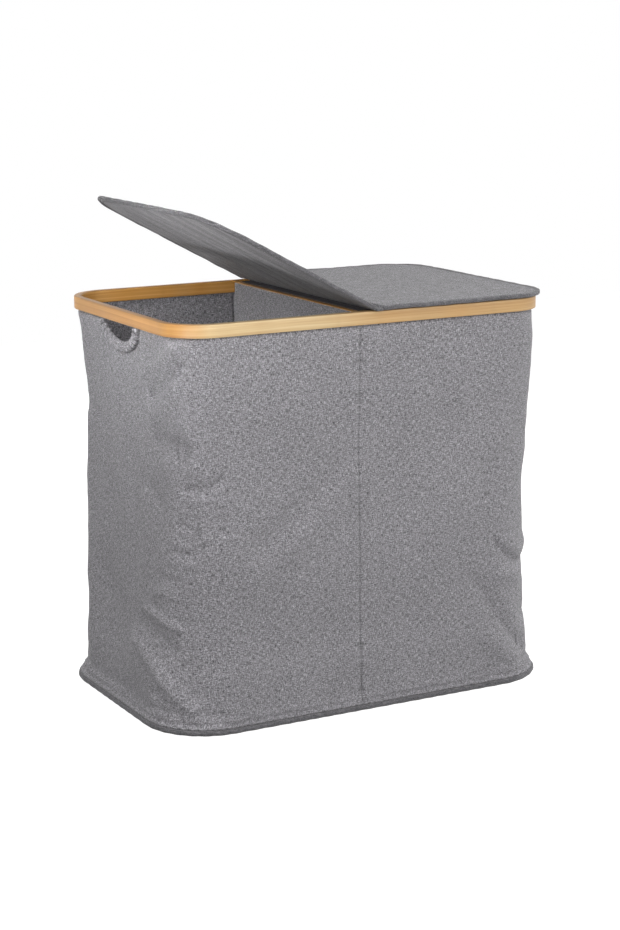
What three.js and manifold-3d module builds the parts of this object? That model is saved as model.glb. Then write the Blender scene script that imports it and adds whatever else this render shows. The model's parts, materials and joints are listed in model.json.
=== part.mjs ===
// Laundry hamper with two bins: a bent bamboo rim over a cloth body that four steel rods hold up, a cloth
// divider, and a lid of two board flaps that fold on a band across the middle.
// Millimetres, +Z up. The origin is the centre of the foot, on the floor. X runs along the hamper and the
// front is at -Y. The left flap stands open and the right one lies closed.
import * as THREE from "three";
import { mergeVertices } from "three/addons/utils/BufferGeometryUtils.js";
import Module from "manifold-3d";

const wasm = await Module();
wasm.setup();

// Whole hamper
const rimTop = 540;
const rimLength = 560;
const rimDepth = 382;
const footSpread = { ends: 19, sides: 4.5 }; // how far the foot stands out past the rim

// Clearances
const seat = 0.3; // between pieces that lie on or in one another
const overrun = 3; // how far a cutter passes the face that it leaves

// Bamboo rim: a bent strip with a groove in its underside that takes the cloth's hem
const strip = { tall: 17.5, thick: 10, cornerRadius: 58, topEase: 1.8, bottomEase: 1 };
const groove = { inset: 4.1, wide: 3.7, deep: 7.6 };
const hemStrip = { thick: 1.2, tall: 6 };

// Crossbar, tenoned into the middle of the rim's long sides
const crossbar = { wide: 32, tall: 12, drop: 2, ease: 1.5 };
const tenon = { wide: 20, tall: 5, long: 3, drop: 2.5 };

// Cloth body
const cloth = { thick: 1.6, footInset: 3, footCornerRadius: 88, waist: 5, seamX: -17.3, dividerThick: 2 };
const handHole = { halfWide: 48, deep: 25 };
const binding = { wide: 12, thick: 1.2 };

// Foot
const piping = { radius: 4, lift: 0.6 };
const footLayer = { panel: 1.2, board: 3, lining: 1.2, boardInset: 6 };

// Corner rods
const rod = { radius: 3, capWall: 1.3, capTall: 14, capFloor: 2.5 };
const sleeve = { play: 0.5, thick: 1, start: 48, topGap: 3.5 };
const foldRoom = 1.5; // how far a fold may reach in beside a rod

// Lid
const flap = { length: 274.4, sideOverhang: 5, cornerRadius: 65, boardThick: 2.4, skinThick: 0.8, skinGap: 0.2 };
const flapEdge = { thick: 0.7, wide: 7, proud: 1.8, boardInset: 2.5 };
const band = { halfWide: 5, thick: 1.6, hingeGap: 0.6, endInset: 3 };
const tape = { halfWide: 10, thick: 1.2, endGap: 12 };
const lidLift = 0.4; // between the closed flap's edge binding and the rim
const lidShift = 7; // how far the lid lies beyond the crossbar's middle, towards the closed flap
const leftOpen = THREE.MathUtils.degToRad(28.3);

// Steps round one corner, and along the straights of a cloth wall
const cornerSteps = 8;
const wallFrontSteps = 7;
const wallEndSteps = 8;
const roundSteps = 12;
const quarter = Math.PI / 2;

// The body's section from the hem down to the foot. The flare runs from 0 at the rim to 1 at the foot, and the
// waist draws all sides in.
const bodyRowShares = [
  { height: 1, flare: 0, waist: 0 },
  { height: 0.983, flare: 0, waist: 0 },
  { height: 0.95, flare: -0.05, waist: 0.15 },
  { height: 0.9, flare: -0.09, waist: 0.3 },
  { height: 0.82, flare: -0.11, waist: 0.5 },
  { height: 0.73, flare: -0.1, waist: 0.9 },
  { height: 0.62, flare: -0.03, waist: 0.95 },
  { height: 0.5, flare: 0.08, waist: 0.85 },
  { height: 0.38, flare: 0.17, waist: 0.7 },
  { height: 0.27, flare: 0.22, waist: 0.8 },
  { height: 0.18, flare: 0.34, waist: 0.7 },
  { height: 0.11, flare: 0.5, waist: 0.35 },
  { height: 0.055, flare: 0.64, waist: 0.5 },
  { height: 0.03, flare: 0.68, waist: 0.5 },
  { height: 0.012, flare: 0.9, waist: 0.15 },
  { height: 0, flare: 1, waist: 0 },
];

// Folds of the cloth walls. around runs from the front seam to the back one, lean is from the upright.
const leftFolds = [
  { aroundShare: 0.3, heightShare: 0.74, lean: 0.04, long: 120, wide: 22, proud: 2.4 },
  { aroundShare: 0.36, heightShare: 0.9, lean: 0.7, long: 40, wide: 10, proud: -1.2 },
  { aroundShare: 0.33, heightShare: 0.2, lean: -0.35, long: 70, wide: 13, proud: 3 },
  { aroundShare: 0.28, heightShare: 0.17, lean: 0.3, long: 60, wide: 12, proud: 2.2 },
  { aroundShare: 0.24, heightShare: 0.3, lean: -0.75, long: 80, wide: 15, proud: -1.4 },
  { aroundShare: 0.13, heightShare: 0.42, lean: 0.8, long: 110, wide: 26, proud: -2 },
  { aroundShare: 0.47, heightShare: 0.35, lean: 0.25, long: 110, wide: 24, proud: -2 },
  { aroundShare: 0.7, heightShare: 0.25, lean: 0.3, long: 80, wide: 16, proud: 2.4 },
  { aroundShare: 0.84, heightShare: 0.5, lean: -0.6, long: 110, wide: 26, proud: -2 },
];
const rightFolds = [
  { aroundShare: 0.3, heightShare: 0.7, lean: -0.05, long: 120, wide: 22, proud: 2.2 },
  { aroundShare: 0.2, heightShare: 0.25, lean: 0.6, long: 80, wide: 15, proud: 2.6 },
  { aroundShare: 0.24, heightShare: 0.12, lean: 0.75, long: 60, wide: 12, proud: 2 },
  { aroundShare: 0.12, heightShare: 0.55, lean: -0.5, long: 110, wide: 26, proud: -1.6 },
  { aroundShare: 0.5, heightShare: 0.4, lean: -0.3, long: 110, wide: 24, proud: -2 },
  { aroundShare: 0.71, heightShare: 0.22, lean: -0.3, long: 80, wide: 16, proud: 2.4 },
  { aroundShare: 0.86, heightShare: 0.45, lean: 0.6, long: 110, wide: 26, proud: -2 },
];
const foldFadeShare = 0.06;

const finishes = {
  bamboo: { color: 0xd9b283, roughness: 0.45, metalness: 0 },
  cloth: { color: 0x8b898e, roughness: 0.95, metalness: 0 },
  darkCloth: { color: 0x616264, roughness: 0.95, metalness: 0 },
  lining: { color: 0x70747c, roughness: 0.9, metalness: 0 },
  board: { color: 0x8a6a4a, roughness: 0.85, metalness: 0 },
  steel: { color: 0xb9bbbe, roughness: 0.35, metalness: 1 },
  plastic: { color: 0x2b2b2d, roughness: 0.55, metalness: 0 },
};

// Heights and places that follow from the sizes above
const footLength = rimLength + 2 * footSpread.ends;
const footDepth = rimDepth + 2 * footSpread.sides;
const rimBottom = rimTop - strip.tall;
const hemTop = rimBottom + groove.deep - seat;
const clothInset = groove.inset + seat;
const pipingTop = piping.lift + 2 * piping.radius;
const wallFoot = pipingTop + seat;
const crossbarTop = rimTop - crossbar.drop;
const boardBottom = footLayer.panel + seat;
const liningBottom = boardBottom + footLayer.board + seat;
const floorTop = liningBottom + footLayer.lining;
const skinOuter = flap.boardThick / 2 + flap.skinGap + flap.skinThick;
const edgeOuter = skinOuter + flap.skinGap + flapEdge.thick;
const hingeX = band.halfWide + band.hingeGap;
const hingeZ = rimTop + lidLift + edgeOuter;
const rimInnerHalfDepth = rimDepth / 2 - strip.thick;
const flapHalfWide = rimDepth / 2 + flap.sideOverhang;

const hamper = new THREE.Group();

function addMesh(parent, name, body, finish) {
  const made = body.getMesh();
  const geometry = new THREE.BufferGeometry();
  geometry.setAttribute("position", new THREE.BufferAttribute(made.vertProperties, made.numProp));
  geometry.setIndex(new THREE.BufferAttribute(made.triVerts, 1));
  geometry.computeVertexNormals();
  const mesh = new THREE.Mesh(geometry, new THREE.MeshStandardMaterial(finishes[finish]));
  mesh.name = name;
  parent.add(mesh);
}

// A body from points and triangles, turned so that its faces point out
function closedBody(points, triangles) {
  const build = (triVerts) =>
    new wasm.Manifold(new wasm.Mesh({ numProp: 3, vertProperties: new Float32Array(points), triVerts }));
  const body = build(new Uint32Array(triangles));
  return body.volume() > 0 ? body : build(new Uint32Array(triangles).reverse());
}

function bodyOf(geometry) {
  const bare = geometry.clone();
  bare.deleteAttribute("normal");
  bare.deleteAttribute("uv");
  const merged = mergeVertices(bare);
  return closedBody(merged.attributes.position.array, merged.index.array);
}

// A body from rings of points, each joined to the next and the last to the first
function hoopBody(rings) {
  const count = rings[0].length;
  const triangles = [];
  rings.forEach((ring, r) => {
    const near = r * count;
    const far = ((r + 1) % rings.length) * count;
    ring.forEach((point, c) => {
      const d = (c + 1) % count;
      triangles.push(near + c, near + d, far + d, near + c, far + d, far + c);
    });
  });
  return closedBody(rings.flat().flatMap((point) => point.toArray()), triangles);
}

// A thin body between two sheets of points with the same rows and columns
function shellBody(outer, inner) {
  const lastRow = outer.length - 1;
  const lastColumn = outer[0].length - 1;
  const columns = lastColumn + 1;
  const at = (face, r, c) => (face * (lastRow + 1) + r) * columns + c;
  const triangles = [];
  const quad = (a, b, c, d) => triangles.push(a, b, c, a, c, d);
  for (let r = 0; r < lastRow; r += 1) {
    for (let c = 0; c < lastColumn; c += 1) {
      quad(at(0, r, c), at(0, r, c + 1), at(0, r + 1, c + 1), at(0, r + 1, c));
      quad(at(1, r, c), at(1, r + 1, c), at(1, r + 1, c + 1), at(1, r, c + 1));
    }
    quad(at(0, r, 0), at(0, r + 1, 0), at(1, r + 1, 0), at(1, r, 0));
    quad(at(0, r + 1, lastColumn), at(0, r, lastColumn), at(1, r, lastColumn), at(1, r + 1, lastColumn));
  }
  for (let c = 0; c < lastColumn; c += 1) {
    quad(at(0, 0, c + 1), at(0, 0, c), at(1, 0, c), at(1, 0, c + 1));
    quad(at(0, lastRow, c), at(0, lastRow, c + 1), at(1, lastRow, c + 1), at(1, lastRow, c));
  }
  return closedBody([...outer, ...inner].flat().flatMap((point) => point.toArray()), triangles);
}

// A flat piece of the shape's outline between two heights
function plate(shape, low, high) {
  const options = { depth: high - low, bevelEnabled: false, curveSegments: roundSteps };
  return bodyOf(new THREE.ExtrudeGeometry(shape, options).translate(0, 0, low));
}

// A piece whose outline is drawn in Y and Z, between two places along X
function uprightPlate(shape, from, to) {
  const options = { depth: to - from, bevelEnabled: false, curveSegments: roundSteps };
  const turn = new THREE.Matrix4().makeBasis(
    new THREE.Vector3(0, 1, 0),
    new THREE.Vector3(0, 0, 1),
    new THREE.Vector3(1, 0, 0),
  );
  return bodyOf(new THREE.ExtrudeGeometry(shape, options).applyMatrix4(turn).translate(from, 0, 0));
}

function box(sizeX, sizeY, low, high, x = 0, y = 0) {
  const geometry = new THREE.BoxGeometry(sizeX, sizeY, high - low);
  return bodyOf(geometry.translate(x, y, (low + high) / 2));
}

// A turned piece: the profile's points are radius and height
function turned(profile) {
  const points = profile.map(([radius, height]) => new THREE.Vector2(radius, height));
  return bodyOf(new THREE.LatheGeometry(points, roundSteps).rotateX(quarter));
}

// Points round a rounded rectangle at one height
function roundedLoop(halfLength, halfDepth, radius, z) {
  const points = [];
  for (let corner = 0; corner < 4; corner += 1) {
    const middle = (corner + 0.5) * quarter;
    const centreX = Math.sign(Math.cos(middle)) * (halfLength - radius);
    const centreY = Math.sign(Math.sin(middle)) * (halfDepth - radius);
    for (let step = 0; step <= cornerSteps; step += 1) {
      const angle = (corner + step / cornerSteps) * quarter;
      points.push(new THREE.Vector3(centreX + radius * Math.cos(angle), centreY + radius * Math.sin(angle), z));
    }
  }
  return points;
}

function roundedShape(halfLength, halfDepth, radius) {
  const shape = new THREE.Shape();
  shape.absarc(halfLength - radius, halfDepth - radius, radius, 0, quarter);
  shape.absarc(radius - halfLength, halfDepth - radius, radius, quarter, 2 * quarter);
  shape.absarc(radius - halfLength, radius - halfDepth, radius, 2 * quarter, 3 * quarter);
  shape.absarc(halfLength - radius, radius - halfDepth, radius, 3 * quarter, 4 * quarter);
  shape.closePath();
  return shape;
}

// A tongue from one place on X to another, square at its start and rounded at its end
function tongueShape(from, to, halfWide, radius) {
  const shape = new THREE.Shape();
  const way = Math.sign(to - from);
  const turnStart = way > 0 ? -quarter : 3 * quarter;
  const middle = turnStart + way * quarter;
  shape.moveTo(from, halfWide);
  shape.lineTo(from, -halfWide);
  shape.absarc(to - way * radius, radius - halfWide, radius, turnStart, middle, way < 0);
  shape.absarc(to - way * radius, halfWide - radius, radius, middle, middle + way * quarter, way < 0);
  shape.closePath();
  return shape;
}

// The lower half of an ellipse that hangs from the rim's underside
function handShape(halfWide, deep) {
  const shape = new THREE.Shape();
  shape.absellipse(0, rimBottom - seat, halfWide, deep, 2 * quarter, 4 * quarter);
  shape.closePath();
  return shape;
}

// One row of the body: its height and its outer outline
function bodyRow({ height, flare, waist }) {
  const { lerp } = THREE.MathUtils;
  const drawn = waist * cloth.waist;
  return {
    z: lerp(wallFoot, hemTop, height),
    halfLength: lerp(rimLength / 2 - clothInset, footLength / 2 - cloth.footInset, flare) - drawn,
    halfDepth: lerp(rimDepth / 2 - clothInset, footDepth / 2 - cloth.footInset, flare) - drawn,
    radius: lerp(cloth.footCornerRadius, strip.cornerRadius - clothInset, height),
  };
}
const bodyRows = bodyRowShares.map(bodyRow);

// Places along half of a row, from the front seam round the +X end to the back seam, with the way out of each
function halfOutline({ halfLength, halfDepth, radius }, seamX) {
  const cornerX = halfLength - radius;
  const cornerY = halfDepth - radius;
  const { lerp } = THREE.MathUtils;
  const places = [];
  const add = (x, y, angle) => places.push({ x, y, outX: Math.cos(angle), outY: Math.sin(angle) });
  const addCorner = (centreY, start) => {
    for (let step = 0; step < cornerSteps; step += 1) {
      const angle = start + (step / cornerSteps) * quarter;
      add(cornerX + radius * Math.cos(angle), centreY + radius * Math.sin(angle), angle);
    }
  };
  for (let step = 0; step < wallFrontSteps; step += 1) {
    add(lerp(seamX, cornerX, step / wallFrontSteps), -halfDepth, -quarter);
  }
  addCorner(-cornerY, -quarter);
  for (let step = 0; step < wallEndSteps; step += 1) {
    add(halfLength, lerp(-cornerY, cornerY, step / wallEndSteps), 0);
  }
  addCorner(cornerY, 0);
  for (let step = 0; step <= wallFrontSteps; step += 1) {
    add(lerp(cornerX, seamX, step / wallFrontSteps), halfDepth, quarter);
  }
  return places;
}

// How far the folds push the cloth out at one place of a wall
function foldProud(folds, around, height) {
  const girth = rimLength + rimDepth;
  const fade = Math.min(1, (1 - height) / foldFadeShare, height / foldFadeShare, around / foldFadeShare,
    (1 - around) / foldFadeShare);
  let proud = 0;
  folds.forEach((fold) => {
    const side = (around - fold.aroundShare) * girth;
    const rise = (height - fold.heightShare) * (hemTop - wallFoot);
    const across = side * Math.cos(fold.lean) - rise * Math.sin(fold.lean);
    const along = side * Math.sin(fold.lean) + rise * Math.cos(fold.lean);
    proud += fold.proud * Math.exp(-((across / fold.wide) ** 2) - (along / fold.long) ** 2);
  });
  return proud * Math.max(fade, 0);
}

// One sheet of a wall, so far out of the body's outline. The side is 1 for the right wall and -1 for the left.
function wallSheet(side, folds, offset) {
  const seamX = side * cloth.seamX + seat / 2;
  return bodyRows.map((row, r) => {
    const places = halfOutline(row, seamX);
    const points = places.map(({ x, y, outX, outY }, c) => {
      const out = offset + foldProud(folds, c / (places.length - 1), bodyRowShares[r].height);
      return new THREE.Vector3(side * (x + out * outX), y + out * outY, row.z);
    });
    return points;
  });
}

function wall(side, folds) {
  const hole = uprightPlate(
    handShape(handHole.halfWide + binding.thick + seat, handHole.deep + binding.thick + seat),
    handCutFrom(side),
    handCutTo(side),
  );
  return shellBody(wallSheet(side, folds, 0), wallSheet(side, folds, -cloth.thick)).subtract(hole);
}

// The hand hole's cutters pass the end wall by the overrun on both sides
function handCutFrom(side) {
  return side > 0 ? rimLength / 2 - strip.thick - overrun : -rimLength / 2 - overrun;
}
function handCutTo(side) {
  return handCutFrom(side) + strip.thick + 2 * overrun;
}

// The binding folds round the hand hole's edge and grips the cloth on both faces
function handleBinding(side, folds) {
  const grip = seat + binding.thick;
  const shellOut = shellBody(wallSheet(side, folds, grip), wallSheet(side, folds, -cloth.thick - grip));
  const clothRoom = shellBody(wallSheet(side, folds, seat), wallSheet(side, folds, -cloth.thick - seat));
  const from = handCutFrom(side);
  const to = handCutTo(side);
  const outline = uprightPlate(
    handShape(handHole.halfWide + binding.wide, handHole.deep + binding.wide),
    from,
    to,
  );
  const edgeOfCloth = uprightPlate(
    handShape(handHole.halfWide + binding.thick, handHole.deep + binding.thick),
    from,
    to,
  );
  const opening = uprightPlate(handShape(handHole.halfWide, handHole.deep), from - overrun, to + overrun);
  return shellOut.intersect(outline).subtract(clothRoom.subtract(edgeOfCloth)).subtract(opening);
}

// The rim strip's section as insets from its outer face, and heights
function stripProfile() {
  const points = [];
  const ease = (inset, z, radius, start) => {
    for (let step = 0; step <= 2; step += 1) {
      const angle = start - (step / 2) * quarter;
      points.push([inset + radius * Math.cos(angle), z + radius * Math.sin(angle)]);
    }
  };
  const { thick, topEase, bottomEase } = strip;
  ease(bottomEase, rimBottom + bottomEase, bottomEase, 3 * quarter);
  ease(topEase, rimTop - topEase, topEase, 2 * quarter);
  ease(thick - topEase, rimTop - topEase, topEase, quarter);
  ease(thick - bottomEase, rimBottom + bottomEase, bottomEase, 0);
  points.push([groove.inset + groove.wide, rimBottom]);
  points.push([groove.inset + groove.wide, rimBottom + groove.deep]);
  points.push([groove.inset, rimBottom + groove.deep]);
  points.push([groove.inset, rimBottom]);
  return points;
}

function rimLoop([inset, z]) {
  return roundedLoop(rimLength / 2 - inset, rimDepth / 2 - inset, strip.cornerRadius - inset, z);
}

// A stub tenon on one end of the crossbar, or its mortise when it is grown by a clearance
function tenonBody(side, grow) {
  const top = crossbarTop - tenon.drop + grow;
  const inner = rimInnerHalfDepth - seat - overrun;
  const outer = rimInnerHalfDepth + tenon.long + grow;
  return box(tenon.wide + 2 * grow, outer - inner, top - tenon.tall - 2 * grow, top, 0, (side * (inner + outer)) / 2);
}

function rimHoop() {
  const mortises = tenonBody(1, seat).add(tenonBody(-1, seat));
  return hoopBody(stripProfile().map(rimLoop)).subtract(mortises);
}

function rimCrossbar() {
  const { wide, tall, ease } = crossbar;
  const long = 2 * (rimInnerHalfDepth - seat);
  const section = roundedShape(wide / 2, tall / 2, ease);
  const geometry = new THREE.ExtrudeGeometry(section, { depth: long, bevelEnabled: false, curveSegments: 2 });
  geometry.rotateX(quarter).translate(0, long / 2, crossbarTop - tall / 2);
  return bodyOf(geometry).add(tenonBody(1, 0)).add(tenonBody(-1, 0));
}

function hemWedge() {
  const outer = clothInset + cloth.thick + seat;
  const inner = outer + hemStrip.thick;
  const low = hemTop - hemStrip.tall;
  return hoopBody([[outer, low], [outer, hemTop], [inner, hemTop], [inner, low]].map(rimLoop));
}

// The divider's edges follow the body's inner faces, and its head lies against the crossbar between the rim bars
function dividerPanel() {
  const headTop = crossbarTop - crossbar.ease;
  const headHalf = rimInnerHalfDepth - seat;
  const shoulder = rimBottom - seat;
  const inside = cloth.thick + seat;
  const right = [[headHalf, headTop], [headHalf, shoulder]];
  bodyRows.filter((row) => row.z < shoulder).forEach((row) => right.push([row.halfDepth - inside, row.z]));
  const hem = rimDepth / 2 - clothInset - inside;
  right.splice(2, 0, [hem, shoulder]);
  const footHalf = footDepth / 2 - 2 * piping.radius - seat;
  right.push([footHalf, wallFoot], [footHalf, floorTop + seat]);
  const points = [...right, ...right.map(([y, z]) => [-y, z]).reverse()];
  const shape = new THREE.Shape(points.map(([y, z]) => new THREE.Vector2(y, z)));
  const face = -crossbar.wide / 2 - seat;
  return uprightPlate(shape, face - cloth.dividerThick, face);
}

function footPiping() {
  const rings = [];
  for (let step = 0; step < 8; step += 1) {
    const angle = (step / 8) * 4 * quarter;
    const inset = piping.radius * (1 - Math.cos(angle));
    const z = piping.lift + piping.radius * (1 + Math.sin(angle));
    const radius = cloth.footCornerRadius + cloth.footInset - inset;
    rings.push(roundedLoop(footLength / 2 - inset, footDepth / 2 - inset, radius, z));
  }
  return hoopBody(rings);
}

function footPlate(low, high) {
  const inset = 2 * piping.radius + seat;
  const radius = cloth.footCornerRadius + cloth.footInset - inset;
  return plate(roundedShape(footLength / 2 - inset, footDepth / 2 - inset, radius), low, high);
}

function footBoard(side) {
  const inset = 2 * piping.radius + footLayer.boardInset;
  const seam = cloth.seamX + side * (cloth.dividerThick / 2 + seat);
  const radius = cloth.footCornerRadius + cloth.footInset - inset;
  const shape = tongueShape(seam, side * (footLength / 2 - inset), footDepth / 2 - inset, radius);
  return plate(shape, boardBottom, boardBottom + footLayer.board);
}

// The rods stand in the corners as far out as the narrowest row of the body lets their sleeves
function rodPlace() {
  const slant = Math.SQRT1_2;
  const hem = bodyRows[0];
  const hemX = hem.halfLength - hem.radius;
  const hemY = hem.halfDepth - hem.radius;
  const facet = Math.cos(quarter / 2 / cornerSteps);
  const reaches = bodyRows.map((row) => {
    const fromX = hemX - (row.halfLength - row.radius);
    const fromY = hemY - (row.halfDepth - row.radius);
    const room = (row.radius - cloth.thick) * facet - foldRoom - seat - sleeveOuter;
    const along = slant * (fromX + fromY);
    return -along + Math.sqrt(along * along - fromX * fromX - fromY * fromY + room * room);
  });
  const reach = Math.min(...reaches);
  return { x: hemX + slant * reach, y: hemY + slant * reach };
}
const capOuter = rod.radius + seat + rod.capWall;
const sleeveInner = capOuter + sleeve.play;
const sleeveOuter = sleeveInner + sleeve.thick;
const sleeveTop = rimBottom - sleeve.topGap;
const rodFoot = floorTop + seat;
const rodHead = sleeveTop - sleeve.thick - seat;

// A cap over one end of a rod. The way is 1 for the foot cap, whose mouth looks up, and -1 for the top cap.
function rodCap(end, way) {
  const bore = rod.radius + seat;
  return turned([
    [0, end],
    [capOuter - rod.capWall, end],
    [capOuter, end + way * rod.capWall],
    [capOuter, end + way * rod.capTall],
    [bore, end + way * rod.capTall],
    [bore, end + way * rod.capFloor],
    [0, end + way * rod.capFloor],
  ]);
}

function rodBar() {
  const low = rodFoot + rod.capFloor + seat;
  const high = rodHead - rod.capFloor - seat;
  return turned([[0, low], [rod.radius, low], [rod.radius, high], [0, high]]);
}

function rodSleeve() {
  return turned([
    [0, sleeveTop - sleeve.thick],
    [sleeveInner, sleeveTop - sleeve.thick],
    [sleeveInner, sleeve.start],
    [sleeveOuter, sleeve.start],
    [sleeveOuter, sleeveTop],
    [0, sleeveTop],
  ]);
}

function addRods() {
  const place = rodPlace();
  for (const [endName, sideX] of [["left", -1], ["right", 1]]) {
    for (const [faceName, sideY] of [["front", -1], ["back", 1]]) {
      const corner = new THREE.Group();
      corner.position.set(sideX * place.x, sideY * place.y, 0);
      const suffix = `${faceName}_${endName}`;
      addMesh(corner, `rod_${suffix}`, rodBar(), "steel");
      addMesh(corner, `rod_foot_${suffix}`, rodCap(rodFoot, 1), "plastic");
      addMesh(corner, `rod_top_cap_${suffix}`, rodCap(rodHead, -1), "plastic");
      addMesh(corner, `rod_sleeve_${suffix}`, rodSleeve(), "cloth");
      hamper.add(corner);
    }
  }
}

// Flap pieces are drawn towards -X from the fold line, about the board's middle plane
function flapShape(inset) {
  const edge = flapEdge.proud + inset;
  return tongueShape(0, edge - flap.length, flapHalfWide - edge, flap.cornerRadius - edge);
}

function flapSkin(way) {
  const near = flap.boardThick / 2 + flap.skinGap;
  const far = near + flap.skinThick;
  return plate(flapShape(0), way > 0 ? near : -far, way > 0 ? far : -near);
}

function flapBinding() {
  const gap = flap.skinGap;
  const whole = plate(flapShape(-flapEdge.proud), -edgeOuter, edgeOuter);
  const room = plate(flapShape(-gap), -skinOuter - gap, skinOuter + gap);
  const middle = plate(flapShape(flapEdge.wide), -edgeOuter - overrun, edgeOuter + overrun);
  return whole.subtract(room).subtract(middle);
}

function addFlap(name, turn, open) {
  const fold = new THREE.Group();
  fold.position.set(lidShift + (turn ? hingeX : -hingeX), 0, hingeZ);
  fold.rotation.set(0, open, turn, "ZYX");
  const board = plate(flapShape(flapEdge.boardInset), -flap.boardThick / 2, flap.boardThick / 2);
  addMesh(fold, `${name}_board`, board, "board");
  addMesh(fold, `${name}_cover`, flapSkin(1), "cloth");
  addMesh(fold, `${name}_lining`, flapSkin(-1), "lining");
  addMesh(fold, `${name}_binding`, flapBinding(), "darkCloth");
  hamper.add(fold);
}

// The two tapes lie on the crossbar, between the rim bars, and the band lies on them and on the rim
function addLidFixing() {
  const tapeLong = 2 * (rimInnerHalfDepth - tape.endGap);
  const loopBottom = crossbarTop + seat / 2;
  const hookBottom = loopBottom + tape.thick + seat / 2;
  const bandBottom = rimTop + lidLift;
  const bandLong = 2 * (flapHalfWide - band.endInset);
  addMesh(hamper, "loop_tape", box(2 * tape.halfWide, tapeLong, loopBottom, loopBottom + tape.thick), "plastic");
  const hook = box(2 * band.halfWide, tapeLong, hookBottom, bandBottom - seat / 2).translate(lidShift, 0, 0);
  addMesh(hamper, "hook_tape", hook, "plastic");
  const middle = box(2 * band.halfWide, bandLong, bandBottom, bandBottom + band.thick).translate(lidShift, 0, 0);
  addMesh(hamper, "lid_centre_band", middle, "cloth");
}

addMesh(hamper, "rim_hoop", rimHoop(), "bamboo");
addMesh(hamper, "rim_crossbar", rimCrossbar(), "bamboo");
addMesh(hamper, "hem_strip", hemWedge(), "plastic");
addMesh(hamper, "wall_left", wall(-1, leftFolds), "cloth");
addMesh(hamper, "wall_right", wall(1, rightFolds), "cloth");
addMesh(hamper, "handle_binding_left", handleBinding(-1, leftFolds), "darkCloth");
addMesh(hamper, "handle_binding_right", handleBinding(1, rightFolds), "darkCloth");
addMesh(hamper, "divider_panel", dividerPanel(), "cloth");
addMesh(hamper, "base_piping", footPiping(), "darkCloth");
addMesh(hamper, "base_panel", footPlate(0, footLayer.panel), "cloth");
addMesh(hamper, "base_lining", footPlate(liningBottom, floorTop), "cloth");
addMesh(hamper, "base_board_left", footBoard(-1), "board");
addMesh(hamper, "base_board_right", footBoard(1), "board");
addRods();
addLidFixing();
addFlap("lid_left", 0, leftOpen);
addFlap("lid_right", Math.PI, 0);

export default hamper;
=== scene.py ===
"""Looks of a two-bin laundry hamper: bamboo rim, grey melange cloth body, and two board flaps.

Metres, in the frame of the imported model: X along the hamper, the front at -Y, Z up, the floor at zero.
"""
import json
import math
from functools import partialmethod

import bmesh
import bpy
import numpy as np
from mathutils import Matrix, Vector, noise


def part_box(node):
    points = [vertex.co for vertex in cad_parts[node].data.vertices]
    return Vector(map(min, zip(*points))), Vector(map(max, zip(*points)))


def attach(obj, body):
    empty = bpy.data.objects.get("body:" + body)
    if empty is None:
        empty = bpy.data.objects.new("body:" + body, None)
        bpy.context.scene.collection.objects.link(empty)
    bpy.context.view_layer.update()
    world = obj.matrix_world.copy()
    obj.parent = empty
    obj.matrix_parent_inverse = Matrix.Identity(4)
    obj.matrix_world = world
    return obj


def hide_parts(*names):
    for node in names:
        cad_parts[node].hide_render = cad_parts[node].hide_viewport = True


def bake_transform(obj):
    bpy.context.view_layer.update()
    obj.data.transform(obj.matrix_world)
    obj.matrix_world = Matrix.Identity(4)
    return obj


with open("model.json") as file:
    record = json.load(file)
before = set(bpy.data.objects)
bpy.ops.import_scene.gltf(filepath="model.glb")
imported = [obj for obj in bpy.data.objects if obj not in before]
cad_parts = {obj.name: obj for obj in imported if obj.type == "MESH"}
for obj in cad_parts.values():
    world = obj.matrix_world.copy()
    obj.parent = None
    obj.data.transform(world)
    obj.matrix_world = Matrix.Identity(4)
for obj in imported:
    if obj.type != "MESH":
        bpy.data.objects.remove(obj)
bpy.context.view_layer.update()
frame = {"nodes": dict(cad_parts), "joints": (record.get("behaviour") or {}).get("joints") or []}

MM = 0.001
QUARTER = math.pi / 2
CORNERS = [(1, 1), (-1, 1), (-1, -1), (1, -1)]
OUTWARD, ACROSS, UPWARD = np.eye(3)

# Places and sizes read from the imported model
rim_low, rim_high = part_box("rim_hoop")
foot_low, foot_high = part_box("base_piping")
wall_low, wall_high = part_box("wall_left")
divider_low, divider_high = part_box("divider_panel")
bar_low, bar_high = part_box("rim_crossbar")
band_low, band_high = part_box("lid_centre_band")
floor_low, floor_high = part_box("base_lining")
panel_low, panel_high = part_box("base_panel")
_, skin_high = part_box("lid_right_cover")
_, edge_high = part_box("lid_right_binding")
RIM_X, RIM_Y, RIM_BOTTOM, RIM_TOP = rim_high.x, rim_high.y, rim_low.z, rim_high.z
FOOT_X, FOOT_Y = foot_high.x, foot_high.y
WALL_FOOT, HEM_TOP = wall_low.z, wall_high.z
BAND_X, BAND_Z = (band_low.x + band_high.x) / 2, (band_low.z + band_high.z) / 2
BAND_HALF, BAND_HALF_TALL = (band_high.x - band_low.x) / 2, (band_high.z - band_low.z) / 2
JOINTS = {joint["name"]: joint for joint in frame["joints"]}
HINGE_Z = JOINTS["lid_right_fold"]["pos_m"][2]
LEFT_OPEN = math.radians(-JOINTS["lid_left_fold"]["range_deg"][0])
SKIN_UP = skin_high.z - HINGE_Z

# Sizes of the construction
STRIP_THICK = 10 * MM
STRIP_RADIUS = 58 * MM
STRIP_EASE, STRIP_FOOT_EASE = 2 * MM, 1 * MM
CLOTH_INSET = 4.4 * MM
CLOTH_THICK = 1.6 * MM
FOOT_RADIUS = 88 * MM
FOOT_INSET = 3 * MM
PIPE_RADIUS = 4 * MM
HAND_HALF_WIDE = 48 * MM
HAND_DEEP = 25 * MM
HAND_BINDING = 12 * MM
GATHER = 8.6 * MM
SEAM_X = -17.3 * MM
WAIST = 5 * MM
STITCH_GAP, STITCH_RADIUS = 1.1 * MM, 0.32 * MM
SHARP_ANGLE = math.radians(50)

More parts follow.
